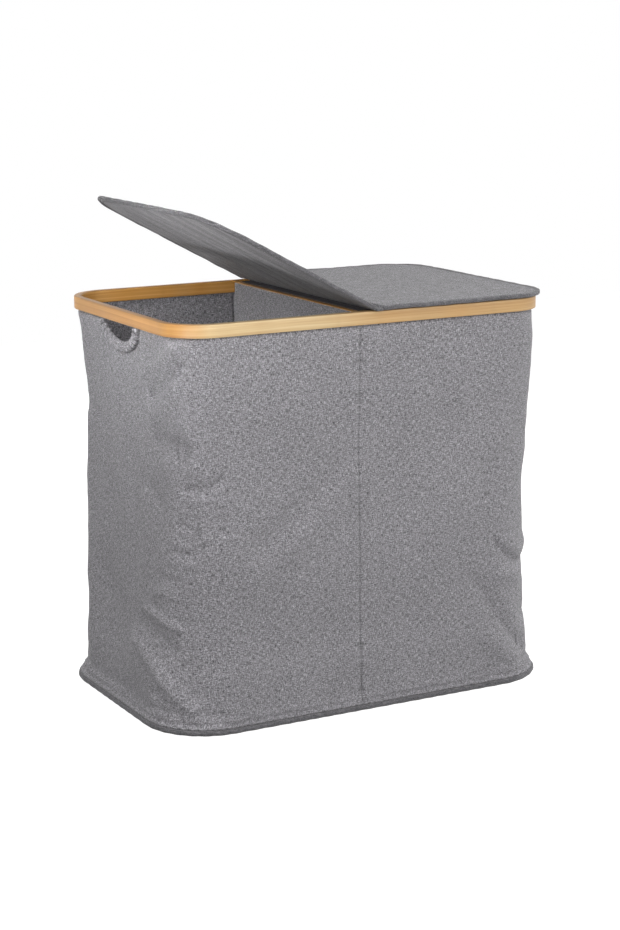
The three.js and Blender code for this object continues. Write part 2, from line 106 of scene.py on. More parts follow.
# Photograph: the camera that its rim, foot and flaps fit
FOCAL_PX = 2120.7
PHOTO_TALL_PX = 930
SENSOR_MM = 36
CAMERA_YAW = 0.4929
CAMERA_PITCH = 0.21525
CAMERA_ROLL = -0.00687
CAMERA_DISTANCE = 2.9666
CAMERA_RIGHT = 0.0066
CAMERA_UP = 0.0291
CAMERA_AIM_Z = 0.27


def new_object(name, data):
    made = bpy.data.objects.new(name, data)
    bpy.context.scene.collection.objects.link(made)
    return made


def make_camera():
    yaw, pitch, roll = CAMERA_YAW, CAMERA_PITCH, CAMERA_ROLL
    back = Vector((-math.sin(yaw) * math.cos(pitch), -math.cos(yaw) * math.cos(pitch), math.sin(pitch)))
    level = Vector((math.cos(yaw), -math.sin(yaw), 0))
    upright = back.cross(level)
    right = level * math.cos(roll) + upright * math.sin(roll)
    up = upright * math.cos(roll) - level * math.sin(roll)
    place = Vector((0, 0, CAMERA_AIM_Z)) + back * CAMERA_DISTANCE + right * CAMERA_RIGHT + up * CAMERA_UP
    data = bpy.data.cameras.new("camera")
    data.sensor_width = SENSOR_MM
    data.lens = FOCAL_PX * SENSOR_MM / PHOTO_TALL_PX
    data.clip_end = 50
    camera = bpy.context.scene.camera = new_object("camera", data)
    camera.matrix_world = Matrix.Translation(place) @ Matrix((right, up, back)).transposed().to_4x4()


class Value:
    """One output of a node. Arithmetic on it adds nodes."""

    def __init__(self, nodes, socket):
        self.nodes, self.socket = nodes, socket

    def math(self, operation, *others, **settings):
        inputs = dict(enumerate((self, *others)))
        return self.nodes.add("ShaderNodeMath", inputs, operation=operation, **settings)

    __add__ = partialmethod(math, "ADD")
    __sub__ = partialmethod(math, "SUBTRACT")
    __mul__ = partialmethod(math, "MULTIPLY")
    __truediv__ = partialmethod(math, "DIVIDE")

    def map(self, low, high, to_low=0.0, to_high=1.0):
        """From one range to another, held at its ends."""
        inputs = {"Value": self, "From Min": low, "From Max": high, "To Min": to_low, "To Max": to_high}
        return self.nodes.add("ShaderNodeMapRange", inputs)

    def split(self):
        node = self.nodes.node("ShaderNodeSeparateXYZ", {0: self})
        return [Value(self.nodes, socket) for socket in node.outputs]

    def ramp(self, *stops):
        """A colour between stops of place and colour."""
        node = self.nodes.node("ShaderNodeValToRGB", {0: self})
        elements = node.color_ramp.elements
        while len(elements) < len(stops):
            elements.new(0.5)
        for element, (place, color) in zip(elements, stops):
            element.position = place
            element.color = (*color, 1)
        return Value(self.nodes, node.outputs[0])

    def tint(self, factor):
        """The colour times a factor."""
        return self.nodes.add("ShaderNodeVectorMath", {0: self, "Scale": factor}, operation="SCALE")

    def varied(self, field, share):
        """The colour, darker and lighter by up to a share as a field goes from 0 to 1."""
        return self.tint(field * (2 * share) + (1 - share))


class Nodes:
    """A short way to write the nodes of a material or a world."""

    def __init__(self, owner):
        owner.use_nodes = True
        self.owner, self.tree = owner, owner.node_tree

    def node(self, kind, inputs=(), **settings):
        node = self.tree.nodes.new(kind)
        for key, value in settings.items():
            setattr(node, key, value)
        for key, value in dict(inputs).items():
            self.join(value, node.inputs[key])
        return node

    def add(self, kind, inputs=(), output=0, **settings):
        return Value(self, self.node(kind, inputs, **settings).outputs[output])

    def join(self, value, socket):
        if isinstance(value, Value):
            self.tree.links.new(value.socket, socket)
        else:
            socket.default_value = value

    def noise(self, place, scale=1.0, detail=2.0, roughness=0.5):
        """Noise at a place, which is a vector or a tuple of two or three coordinates."""
        if isinstance(place, tuple):
            place = self.add("ShaderNodeCombineXYZ", dict(enumerate(place)))
        inputs = {"Vector": place, "Scale": scale, "Detail": detail, "Roughness": roughness}
        return self.add("ShaderNodeTexNoise", inputs, "Fac")

    def mix(self, factor, a, b):
        return self.add("ShaderNodeMix", {0: factor, 2: a, 3: b}, data_type="FLOAT")

    def mix_colors(self, factor, a, b):
        return self.add("ShaderNodeMix", {0: factor, 6: a, 7: b}, 2, data_type="RGBA")

    def bump(self, height, distance):
        bump = self.add("ShaderNodeBump", {"Height": height, "Distance": distance, "Strength": 1.0})
        self.join(bump, self.tree.nodes["Principled BSDF"].inputs["Normal"])

    def surface_place(self):
        """The surface's own coordinates, in metres along and across it."""
        return self.add("ShaderNodeUVMap", uv_map="UVMap").split()[:2]

    def object_place(self):
        return self.add("ShaderNodeTexCoord", output="Object")

    def seen_directly(self):
        """1 for what the camera sees, also in a mirror or through glass, and 0 for all other light."""
        kinds, rays = ("Camera", "Glossy", "Transmission"), self.node("ShaderNodeLightPath").outputs
        camera, mirror, glass = (Value(self, rays[f"Is {kind} Ray"]) for kind in kinds)
        return camera.math("MAXIMUM", mirror).math("MAXIMUM", glass)

    def finish(self, color, roughness, **constants):
        inputs = self.tree.nodes["Principled BSDF"].inputs
        self.join(color, inputs["Base Color"])
        self.join(roughness, inputs["Roughness"])
        for key, value in constants.items():
            inputs[key.replace("_", " ")].default_value = value
        return self.owner


def grey(level):
    """A linear colour of the cloth's cool grey."""
    return (level * 1.03, level, level * 1.065)


# Weave: where the yarn's tone turns dark, middle and light. The rest is for the body's cloth: the hatching of
# single threads, and a painted shade and light of small wrinkles, a mottle that starts towards its ends
TONE_STOPS = 0.38, 0.5, 0.63
HATCH_LONG, HATCH_FINE, HATCH = 180.0, 1000.0, 2.2
END_FROM, END_TO, END_WRINKLE_SHADING = 0.24, 0.275, 0.3


def woven(name, dark, middle, light, pitch=0.75 * MM, slub=1.8 * MM, relief=0.25 * MM, cloud=(9.0, 0.1),
          painted_fold_streaks=0.0, patchy=0.0, shaded_gathers=0.0, weft_slub=1.6):
    """Plain weave of melange yarn in three greys. A thread changes tone over the length of a slub, and the
    weft weft_slub times as slowly. cloud is the scale and strength of a soft unevenness."""
    n = Nodes(bpy.data.materials.new(name))
    along, across = n.surface_place()
    warp, weft = along / pitch, across / pitch
    warp_thread, weft_thread = warp.math("FLOOR"), weft.math("FLOOR")
    above_zero = 4000.0
    over = (warp_thread + weft_thread + above_zero).math("MODULO", 2.0).math("GREATER_THAN", 0.5)
    warp_tone = n.noise((warp_thread * 7.31, across / slub), 1.0, 1.5, 0.7)
    weft_tone = n.noise((along / (weft_slub * slub), weft_thread * 5.77, 9.0), 1.0, 1.5, 0.7)
    tone = n.mix(over * 0.5 + 0.25, weft_tone, warp_tone)
    color = tone.ramp(*zip(TONE_STOPS, (grey(dark), grey(middle), grey(light))))
    color = color.varied(n.noise((along, across, 3.0), cloud[0], 4.0, 0.6), cloud[1])
    if patchy:
        color = color.varied(n.noise((along, across, 7.0), 95.0, 2.0, 0.6), patchy)
        warp_hatch = n.noise((along * HATCH_FINE, across * HATCH_LONG, 2.0), 1.0, 1.0)
        weft_hatch = n.noise((along * HATCH_LONG, across * HATCH_FINE, 6.0), 1.0, 1.0)
        color = color.tint(warp_hatch * HATCH + (weft_hatch * HATCH + (1 - HATCH)))
        # Towards the ends, the colour is mottled darker and lighter as painted shade and light of small
        # wrinkles.
        side = n.object_place().split()[0]
        end = side.math("ABSOLUTE").map(END_FROM, END_TO, 0.0, END_WRINKLE_SHADING)
        wrinkle_shading = n.noise((along, across, 5.0), 120.0) * 2.0 - 1.0
        color = color.tint(wrinkle_shading * end + 1.0)
    # Painted light and shade of the lining's folds: lengthwise streaks, lighter and darker by up to the given
    # share.
    if painted_fold_streaks:
        fold_streak_light = n.noise((along * 2.5, across * 34.0), 1.0, 3.0, 0.6)
        color = color.tint(fold_streak_light.map(0.42, 0.58, 1 - painted_fold_streaks, 1 + painted_fold_streaks))
    # Painted shade in the valleys of the gathers, down to 0.4 of the colour.
    if shaded_gathers:
        sway = (along / (13 * MM)).math("SINE") * 0.65
        crest = (along * (math.pi / shaded_gathers) + sway).math("SINE").math("ABSOLUTE")
        color = color.tint(crest.map(0.0, 0.5, 0.4))
    round_weft, round_warp = ((thread.math("FRACT") * math.pi).math("SINE") for thread in (weft, warp))
    n.bump(tone * 0.8 + n.mix(over, round_weft, round_warp), relief)
    return n.finish(color, tone * 0.1 + 0.85, Sheen_Weight=0.2, Sheen_Roughness=0.5, Specular_IOR_Level=0.25)


def bamboo():
    """Laminated bamboo under satin lacquer, its front painted paler as a sheen of the frontal light. The fibres
    run along the first coordinate.
    """
    n = Nodes(bpy.data.materials.new("bamboo"))
    along, across = n.surface_place()
    wander = n.noise((along, across), 3.0)
    bent = wander * 0.004 + across
    fibre = n.noise((along * 14.0, bent * 1100.0), 1.0, 4.0, 0.6)
    layer = n.noise((along * 2.0, bent * 260.0, 4.0))
    patch = n.noise((along, 0.0, 8.0), 16.0)
    tone = patch * 0.2 + (layer * 0.5 + fibre * 0.3)
    deep = tone.ramp((0.34, (0.25, 0.108, 0.023)), (0.5, (0.335, 0.165, 0.04)), (0.66, (0.43, 0.235, 0.078)))
    # The paler ramp is the same bamboo painted as if lit: a painted sheen of the frontal light. The straight
    # front takes it below, less where golden patches lie.
    sheen_lit_tone = tone.ramp((0.34, (0.32, 0.20, 0.085)), (0.5, (0.43, 0.31, 0.16)), (0.66, (0.53, 0.42, 0.25)))
    side, depth, _ = n.object_place().split()
    painted_front_sheen = depth.map(-0.13, -0.19) * side.map(-0.27, -0.235)
    golden = patch * 0.7 + (side.map(-0.09, 0.01, 0.0, 0.5) - 0.35)
    color = n.mix_colors(painted_front_sheen.math("SUBTRACT", golden, use_clamp=True), deep, sheen_lit_tone)
    knuckle = (wander * 0.05 + along).math("PINGPONG", 0.118).map(0.005, 0.0)
    color = color.tint(knuckle * layer * -0.08 + 1.0)
    # Painted light: the back of the rim up to 1.45 times lighter, as light on its shaded inner face.
    color = color.tint(depth.map(0.12, 0.18, 1.0, 1.45))
    # Faces that look up are darker, down to 0.6: painted shade along the rim's top, with its darker edge grain.
    rise = n.add("ShaderNodeNewGeometry", output="True Normal").split()[2]
    color = color.tint(rise.map(0.4, 0.8, 1.0, 0.6))
    n.bump(fibre, 0.05 * MM)
    return n.finish(color, fibre * 0.15 + 0.38, Coat_Weight=0.15, Coat_Roughness=0.3)


def brushed_steel():
    n = Nodes(bpy.data.materials.new("zinc_steel"))
    x, y, z = n.object_place().split()
    grain = n.noise((x * 900.0, y * 900.0, z * 30.0), 1.0, 3.0)
    n.bump(grain, 0.03 * MM)
    return n.finish(grain.ramp((0.3, grey(0.42)), (0.7, grey(0.58))), grain * 0.2 + 0.25, Metallic=1.0)


def speckled(name, dark, light, scale, relief, roughness):
    """Moulded or pressed stuff with a fine grain."""
    n = Nodes(bpy.data.materials.new(name))
    grain = n.noise(n.object_place(), scale, 4.0, 0.6)
    n.bump(grain, relief)
    return n.finish(grain.ramp((0.3, dark), (0.7, light)), grain * 0.15 + roughness)


MATERIALS = {
    "cloth": woven("melange_cloth", 0.10, 0.203, 0.375, slub=1.2 * MM, patchy=0.1, weft_slub=1.0),
    "lid_cloth": woven("lid_cloth", 0.037, 0.141, 0.35, slub=2.6 * MM, cloud=(60.0, 0.4)),
    # The binding is the body's cloth with its middle and light greys raised, a painted highlight of its rolled
    # edge.
    "binding": woven("gathered_binding", 0.10, 0.22, 0.44, 0.7 * MM, 3 * MM, shaded_gathers=GATHER),
    "dark_tape": woven("dark_binding", 0.04, 0.09, 0.18, 0.6 * MM, 4 * MM, 0.15 * MM),
    "lining": woven("lid_lining", 0.12, 0.195, 0.29, 0.6 * MM, 12 * MM, 0.1 * MM, (14.0, 0.15), 0.2),
    "thread": woven("stitch_thread", 0.11, 0.16, 0.24, 0.4 * MM, 2 * MM, 0.1 * MM),
    "bamboo": bamboo(),
    "steel": brushed_steel(),
    "plastic": speckled("black_plastic", grey(0.015), grey(0.03), 900.0, 0.05 * MM, 0.45),
    "board": speckled("fibreboard", (0.20, 0.13, 0.07), (0.34, 0.24, 0.14), 420.0, 0.1 * MM, 0.8),
    "tape": speckled("touch_tape", grey(0.03), grey(0.09), 1500.0, 0.5 * MM, 0.9),
}


def edit_mesh(mesh, change):
    work = bmesh.new()
    work.from_mesh(mesh)
    change(work)
    work.to_mesh(mesh)
    work.free()


def add_object(name, points, faces, uvs, material):
    """A smooth mesh object from points, faces and one place per face corner, with its faces turned out."""
    mesh = bpy.data.meshes.new(name)
    mesh.from_pydata([tuple(p) for p in points], [], faces)
    layer = mesh.uv_layers.new(name="UVMap")
    layer.data.foreach_set("uv", np.asarray(uvs, np.float32).ravel())
    edit_mesh(mesh, lambda work: bmesh.ops.recalc_face_normals(work, faces=work.faces))
    mesh.polygons.foreach_set("use_smooth", [True] * len(mesh.polygons))
    mesh.materials.append(MATERIALS[material])
    made = new_object(name, mesh)
    return made


def grid_object(name, points, uv, material, wrap=False, keep=None, caps=False):
    """A surface from rows and columns of points. wrap joins the last row to the first, and uv then has one row
    more. keep says which cells stay, and caps closes the two end columns of a tube."""
    rows, columns = points.shape[:2]
    faces, uvs = [], []
    for r in range(rows if wrap else rows - 1):
        near, far = r * columns, (r + 1) % rows * columns
        for c in range(columns - 1):
            if keep is None or keep[r, c]:
                faces.append((near + c, near + c + 1, far + c + 1, far + c))
                uvs += [uv[r, c], uv[r, c + 1], uv[r + 1, c + 1], uv[r + 1, c]]
    if caps:
        for c in (0, columns - 1):
            faces.append(tuple(r * columns + c for r in range(rows)))
            uvs += [uv[r, c] for r in range(rows)]
    return add_object(name, points.reshape(-1, 3), faces, uvs, material)


def cloth_sheet(name, points, uv, thickness, middle=None, material="cloth", keep=None):
    """A closed cloth on a surface, which stays where it is. Given a middle, the thickness goes towards it."""
    piece = grid_object(name, points, uv, material, keep=keep)
    if middle is not None:
        middle = Vector(middle)
        if sum((face.center - middle).dot(face.normal) * face.area for face in piece.data.polygons) < 0:
            piece.data.flip_normals()
    solidify = piece.modifiers.new("thickness", "SOLIDIFY")
    solidify.thickness, solidify.offset, solidify.use_rim = thickness, -1, True
    view = bpy.context.evaluated_depsgraph_get()
    mesh = bpy.data.meshes.new_from_object(piece.evaluated_get(view), depsgraph=view)
    piece.modifiers.clear()
    piece.data = mesh
    return piece


def distances(points):
    """How far along its row each point lies."""
    steps = np.linalg.norm(np.diff(points, axis=-2), axis=-1)
    return np.concatenate([np.zeros_like(steps[..., :1]), np.cumsum(steps, axis=-1)], axis=-1)


def pairs(a, b):
    return np.stack(np.broadcast_arrays(a, b), axis=-1)


def lifted(flat, z):
    """Flat points as points in space at height z."""
    return np.concatenate([flat, np.broadcast_to(z, (*np.shape(flat)[:-1], 1))], axis=-1)


def part(value, whole):
    """The value as a share of the whole, held between 0 and 1."""
    return np.clip(value / whole, 0, 1)


def ridge(distance, wide):
    """1 at no distance, fading to nothing at about twice the width."""
    return np.exp(-((distance / wide) ** 2))


def sweep(name, path, out, up, section, material, closed=False, caps=False, wrinkle=None):
    """A tube along a path. Each section point is a pair of shares along out and up. wrinkle scales each ring,
    from the angle round it and the distance along the path."""
    path, out, up = np.broadcast_arrays(np.asarray(path, float), out, up)
    if closed:
        path, out, up = (np.concatenate([a, a[:1]]) for a in (path, out, up))
    section = np.asarray(section, float)
    along, count = distances(path), len(section)
    scale = np.ones((count, len(path)))
    if wrinkle:
        scale = wrinkle(np.arange(count)[:, None] / count * 4 * QUARTER, along[None])
    points = path + scale[..., None] * (section[:, None, :1] * out + section[:, None, 1:] * up)
    uv = np.stack(np.meshgrid(along, distances(np.concatenate([section, section[:1]]))), axis=-1)
    made = grid_object(name, points, uv, material, wrap=True, caps=caps)
    if closed:
        edit_mesh(made.data, lambda work: bmesh.ops.remove_doubles(work, verts=work.verts, dist=0.01 * MM))
    return made


def oval(half_out, half_up, count, power=1.0):
    """Section of a tube. A power under 1 squares it."""
    angles = np.arange(count) / count * 4 * QUARTER
    x, z = (np.sign(wave) * np.abs(wave) ** power for wave in (np.cos(angles), np.sin(angles)))
    return pairs(half_out * x, half_up * z)


def quarter_arc(centre, radius, start, steps):
    """Points of a quarter circle and their ways out. It starts after a number of quarter turns."""
    angles = (start + np.arange(steps + 1) / steps) * QUARTER
    outs = pairs(np.cos(angles), np.sin(angles))
    return np.asarray(centre) + radius * outs, outs


def eased_box(half_out, half_up, radius):
    """Section of a bar with rounded edges."""
    core = np.array([half_out - radius, half_up - radius])
    return np.concatenate([quarter_arc(core * corner, radius, i, 3)[0] for i, corner in enumerate(CORNERS)])


def rounded_loop(half_x, half_y, radius, spacing):
    """Points round a rounded rectangle and their ways out, at about the same spacing."""
    core = np.array([half_x - radius, half_y - radius])
    steps = max(int(radius * QUARTER / spacing), 4)
    arcs = [quarter_arc(core * corner, radius, i, steps) for i, corner in enumerate(CORNERS)]
    places, outs = [], []
    for (arc, ways), (next_arc, _) in zip(arcs, arcs[1:] + arcs[:1]):
        run = int(np.linalg.norm(next_arc[0] - arc[-1]) / spacing)
        line = np.linspace(arc[-1], next_arc[0], run + 1)[1:-1]
        places += [arc, line]
        outs += [ways, np.broadcast_to(ways[-1], line.shape)]
    return np.concatenate(places), np.concatenate(outs)


def rounded_grid(half_x, half_y, radius, columns, rows, start=-1):
    """Flat places over a rounded rectangle, in rows that follow its ends. A start of 0 leaves out one half."""
    y = half_y * np.linspace(-1, 1, rows)
    beyond = np.maximum(np.abs(y) - (half_y - radius), 0)
    reach = half_x - radius + np.sqrt(np.maximum(radius**2 - beyond**2, 0))
    x = np.linspace(start, 1, columns)[None] * reach[:, None]
    return x, np.broadcast_to(y[:, None], x.shape)


# One stitch: rings at shares of its length, with their widths and heights in thread radii
STITCH_RINGS = [(-0.5, 0.25, -0.5), (-0.3, 1.0, 0.5), (0.0, 1.1, 0.8), (0.3, 1.0, 0.5), (0.5, 0.25, -0.5)]
STITCH_SIDES = 6


def stitches(name, path, normal, body, length=3 * MM):
    """A row of sewn stitches that lie on a path, as one mesh of short rounded threads."""
    path, normal = np.broadcast_arrays(np.asarray(path, float), normal)
    along = distances(path)
    count = int(along[-1] / (length + STITCH_GAP))
    starts = (np.arange(count) + 0.5) * along[-1] / count

    def at(values, distance):
        return np.stack([np.interp(distance, along, values[:, k]) for k in range(3)], axis=-1)

    middle, face = at(path, starts), at(normal, starts)
    way = at(path, starts + length / 3) - at(path, starts - length / 3)
    way /= np.linalg.norm(way, axis=1, keepdims=True)
    side = np.cross(way, face)
    rings = []
    for place, wide, high in STITCH_RINGS:
        for k in range(STITCH_SIDES):
            angle = k / STITCH_SIDES * 4 * QUARTER
            aside, above = wide * math.cos(angle), wide * math.sin(angle) + high
            rings.append(middle + way * place * length + STITCH_RADIUS * (side * aside + face * above))
    points = np.stack(rings, axis=1).reshape(-1, 3)
    each, s = len(rings), STITCH_SIDES
    sides = [(k, (k + 1) % s, (k + 1) % s + s, k + s) for k in range(s)]
    tube = [tuple(ring + i for i in face) for ring in range(0, each - s, s) for face in sides]
    tube += [tuple(range(s)), tuple(range(each - 1, each - 1 - s, -1))]
    faces = [tuple(first + i for i in face) for first in range(0, count * each, each) for face in tube]
    corners = [i for face in faces for i in face]
    uvs = pairs(points[corners, 0] + points[corners, 1], points[corners, 2])
    made = add_object(name, points, faces, uvs, "thread")
    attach(made, body)


def smooth_rows(x, shares, values):
    """A smooth curve through rows of values at rising shares."""
    slopes = np.gradient(values, shares, axis=0)
    k = np.clip(np.searchsorted(shares, x) - 1, 0, len(shares) - 2)
    span = (shares[k + 1] - shares[k])[:, None]
    t = (x - shares[k])[:, None] / span
    return (
        (2 * t**3 - 3 * t**2 + 1) * values[k] + (t**3 - 2 * t**2 + t) * span * slopes[k]
        + (3 * t**2 - 2 * t**3) * values[k + 1] + (t**3 - t**2) * span * slopes[k + 1]
    )


def noise_field(points, scale, seed, squash=(1.0, 1.0, 1.0)):
    """Smooth noise from -1 to 1 at points, for features of the given size. A squash under 1 draws them out."""
    shift = Vector((seed * 17.3, seed * 5.1, seed * 9.7))
    flat = (points * np.array(squash)).reshape(-1, 3)
    return np.array([noise.noise(Vector(p) / scale + shift) for p in flat]).reshape(points.shape[:-1])


# The body's section from the foot up, as the solid has it: shares of height, of flare and of waist
BODY_SHARES = np.array([
    (0.0, 1.0, 0.0), (0.012, 0.9, 0.15), (0.03, 0.68, 0.5), (0.055, 0.64, 0.5), (0.11, 0.5, 0.35),
    (0.18, 0.34, 0.7), (0.27, 0.22, 0.8), (0.38, 0.17, 0.7), (0.5, 0.08, 0.85), (0.62, -0.03, 0.95),
    (0.73, -0.1, 0.9), (0.82, -0.11, 0.5), (0.9, -0.09, 0.3), (0.95, -0.05, 0.15), (0.983, 0.0, 0.0),
    (1.0, 0.0, 0.0),
])


def body_section(z):
    """Half-length, half-depth and corner radius of the cloth's outer face, at heights."""
    height = (z - WALL_FOOT) / (HEM_TOP - WALL_FOOT)
    flare, waist = smooth_rows(height, BODY_SHARES[:, 0], BODY_SHARES[:, 1:]).T
    half_x = (RIM_X - CLOTH_INSET) * (1 - flare) + (FOOT_X - FOOT_INSET) * flare - WAIST * waist
    half_y = (RIM_Y - CLOTH_INSET) * (1 - flare) + (FOOT_Y - FOOT_INSET) * flare - WAIST * waist
    radius = FOOT_RADIUS * (1 - height) + (STRIP_RADIUS - CLOTH_INSET) * height
    return half_x, half_y, radius


def round_columns(cells):
    """Places round one end of a rounded rectangle, by its sides and corners: shares of the sides' length, of
    the end's half-width and of a quarter turn. cells counts the steps of each of the five stretches."""
    knots = np.array([(0, -1, -1), (1, -1, -1), (1, -1, 0), (1, 1, 0), (1, 1, 1), (0, 1, 1)])
    stretches = [np.linspace(a, b, count, endpoint=False) for a, b, count in zip(knots, knots[1:], cells)]
    return np.concatenate([*stretches, knots[-1:]])


# A wall runs from its front seam to its back seam. Its rows lie closer together near the foot
WALL_COLUMNS = round_columns((42, 48, 48, 48, 42))
WALL_ROWS, WALL_CROWDING = 200, 1.15


def wall_surface(side, z):
    """Points and ways out of one wall's smooth outer face, with a row for each height."""
    half_x, half_y, radius = (size[:, None] for size in body_section(z))
    from_seam, across, turn = WALL_COLUMNS.T
    seam, out_x, out_y = side * SEAM_X, np.cos(turn * QUARTER), np.sin(turn * QUARTER)
    x = seam + (half_x - radius - seam) * from_seam + radius * out_x
    y = (half_y - radius) * across + radius * out_y
    outs = np.stack(np.broadcast_arrays(side * out_x, out_y, 0 * x), axis=-1)
    return np.stack(np.broadcast_arrays(side * x, y, z[:, None]), axis=-1), outs


# Folds of each wall, in millimetres: half-width, height out of the cloth, and the points of the fold's line,
# each as a distance round from the front seam and a height over the floor
FOLDS = {
    -1: [
        (9, 4.5, 262, 502, 300, 482, 350, 462), (9, -7.0, 254, 485, 280, 462, 322, 440),
        (11, 4.2, 254, 455, 285, 432, 322, 410), (15, -5.5, 304, 382, 248, 374),
        (7, 3.2, 240, 505, 241, 400, 236, 350), (7, 3.2, 224, 312, 224, 262),
        (8, -3.6, 252, 322, 216, 326, 202, 337), (12, -3.6, 342, 318, 308, 302),
        (5, -1.5, 256, 277, 242, 275), (6, 2.2, 272, 254, 247, 250), (5, 1.4, 258, 229, 240, 226),
        (4, -1.8, 262, 241, 242, 238), (6, -2.0, 298, 201, 266, 203), (8, 2.6, 318, 178, 268, 183),
        (7, 4.6, 338, 150, 292, 145, 260, 138), (14, 8.0, 364, 104, 310, 83, 276, 59, 246, 32),
        (9, -2.8, 346, 134, 300, 122, 270, 107), (24, 4.6, 372, 76, 322, 52, 286, 26),
        (15, -4.2, 138, 245, 60, 310, 5, 364), (18, 3.4, 150, 205, 70, 262, 10, 320),
        (24, -2.4, 150, 130, 120, 95), (18, 1.8, 185, 250, 165, 190), (26, 1.6, 110, 440, 90, 380),
        (22, -2.6, 372, 330, 372, 190), (26, 2.0, 425, 400, 405, 260), (20, -2.2, 470, 180, 440, 90),
        (13, 2.6, 516, 112, 512, 45), (8, -4.6, 498, 386, 548, 392), (26, 3.2, 530, 150, 530, 70),
        (34, 4.0, 540, 360, 540, 160), (22, -3.0, 700, 400, 640, 250), (16, 3.4, 650, 230, 610, 90),
        (22, 2.6, 760, 330, 700, 180), (12, 2.6, 612, 470, 600, 380),
    ],
    1: [
        (6, -4.2, 212, 204, 236, 180, 262, 166, 300, 168), (12, 3.2, 232, 204, 264, 186, 294, 190),
        (12, 3.6, 222, 156, 256, 146), (5, -3.2, 300, 91, 268, 84), (14, 2.0, 296, 128, 288, 112),
        (12, -5.0, 184, 150, 212, 108, 240, 72, 268, 50), (14, 3.2, 206, 66, 246, 34),
        (12, -5.0, 268, 352, 236, 328, 198, 305), (30, 6.0, 284, 480, 280, 330),
        (3.5, -2.2, 30, 516, 36, 498), (4, 1.4, 22, 512, 27, 492), (24, -2.2, 120, 380, 70, 300),
        (26, 2.0, 150, 260, 90, 190), (20, -1.8, 80, 130, 40, 60), (18, 3.0, 330, 300, 320, 150),
        (22, -3.0, 400, 380, 370, 210), (22, 2.8, 470, 300, 440, 120), (14, -3.0, 540, 170, 500, 60),
        (12, 2.6, 560, 470, 556, 340), (14, 3.4, 620, 250, 585, 110), (12, -3.0, 590, 300, 640, 330),
        (22, -2.8, 760, 360, 690, 190), (22, 2.2, 810, 260, 760, 120),
    ],
}


def fold_relief(folds, around, z):
    """How far the folds push the cloth out, at metres round and up."""
    relief = np.zeros_like(around)
    for wide, proud, *line in folds:
        nearest = np.full(around.shape, np.inf)
        knots = list(zip(line[::2], line[1::2]))
        for (from_a, from_z), (to_a, to_z) in zip(knots[:-1], knots[1:]):
            side, up = around / MM - from_a, z / MM - from_z
            run, rise = to_a - from_a, to_z - from_z
            share = np.clip((side * run + up * rise) / (run**2 + rise**2), 0, 1)
            nearest = np.minimum(nearest, (side - share * run) ** 2 + (up - share * rise) ** 2)
        relief += proud * MM * np.exp(-nearest / wide**2)
    return relief


def wall_relief(side, points, around):
    """Folds, sag and puckers of one wall, fading out at the hem, the foot and the seams."""
    z = points[..., 2]
    rise, from_rim = z - WALL_FOOT, np.maximum(RIM_BOTTOM - z, 0)
    from_seam = np.minimum(around, around[:, -1:] - around)
    near_seam = np.exp(-from_seam / (16 * MM))
    broad = noise_field(points, 95 * MM, 3 + side, (1.0, 1.0, 0.6))
    middle = noise_field(points, 42 * MM, 19 + side, (1.0, 1.0, 0.7))
    fine = noise_field(points, 15 * MM, 7 + side)
    tucks = noise_field(points, 11 * MM, 11 + side, (1.0, 1.0, 0.12))
    puckers = noise_field(points, 9 * MM, 23, (0.15, 0.15, 1.0))
    relief = fold_relief(FOLDS[side], around, z) + MM * (3.0 * broad + 1.6 * middle + 0.35 * fine)
    relief += MM * tucks * (1.5 * np.exp(-from_rim / (20 * MM)) + 0.9 * np.exp(-rise / (26 * MM)))
    fade = part(from_rim, 9 * MM) * part(rise - 3 * MM, 9 * MM)
    relief *= fade * (1 - 0.8 * near_seam)
    # The seam's furrow, the swell and the nip over the piping, and the nip under the rim
    relief -= MM * (0.08 + 0.2 * (z / RIM_TOP) ** 2) * ridge(from_seam, 1.8 * MM) * part(from_rim, 4 * MM)
    relief += MM * (1.0 * ridge(rise - 17 * MM, 12 * MM) - 1.2 * ridge(rise - 5.5 * MM, 2.2 * MM))
    relief -= 1.8 * MM * ridge(from_rim, 3.5 * MM) * (from_rim > 0)
    return relief - hand_groove(points) + 0.55 * MM * puckers * near_seam * fade


def hand_share(points, grow):
    """How far points lie from the middle of a hand hole, as a share of the hole grown by some metres."""
    aside, below = points[..., 1], RIM_BOTTOM - points[..., 2]
    return np.hypot(aside / (HAND_HALF_WIDE + grow), below / (HAND_DEEP + grow))


def hand_groove(points):
    """How far the cloth is drawn in along the seam round a hand hole's binding."""
    grow = HAND_BINDING + 2 * MM
    at_end = np.abs(points[..., 0]) > RIM_X - 2 * STRIP_THICK
    return 3.2 * MM * at_end * ridge((hand_share(points, grow) - 1) * (HAND_DEEP + grow), 2.4 * MM)


def hand_keep(points):
    """Which cells of a wall lie outside the hand hole, under the part of the binding that hides the cut."""
    centre = (points[:-1, :-1] + points[1:, 1:]) / 2
    at_end = np.abs(centre[..., 0]) > RIM_X - STRIP_THICK
    return ~((hand_share(centre, 4 * MM) < 1) & at_end & (centre[..., 2] < RIM_BOTTOM - 0.5 * MM))


def make_wall(side, name, node):
    z = WALL_FOOT + np.linspace(0, 1, WALL_ROWS) ** WALL_CROWDING * (HEM_TOP - WALL_FOOT)
    points, outs = wall_surface(side, z)
    around = distances(points)
    points += outs * wall_relief(side, points, around)[..., None]
    along = around[WALL_ROWS // 2]
    middle = (0, 0, (RIM_TOP + WALL_FOOT) / 2)
    wall = cloth_sheet(name, points, pairs(along, points[..., 2]), CLOTH_THICK, middle, keep=hand_keep(points))
    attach(wall, "basket")
    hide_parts(node)
    return points


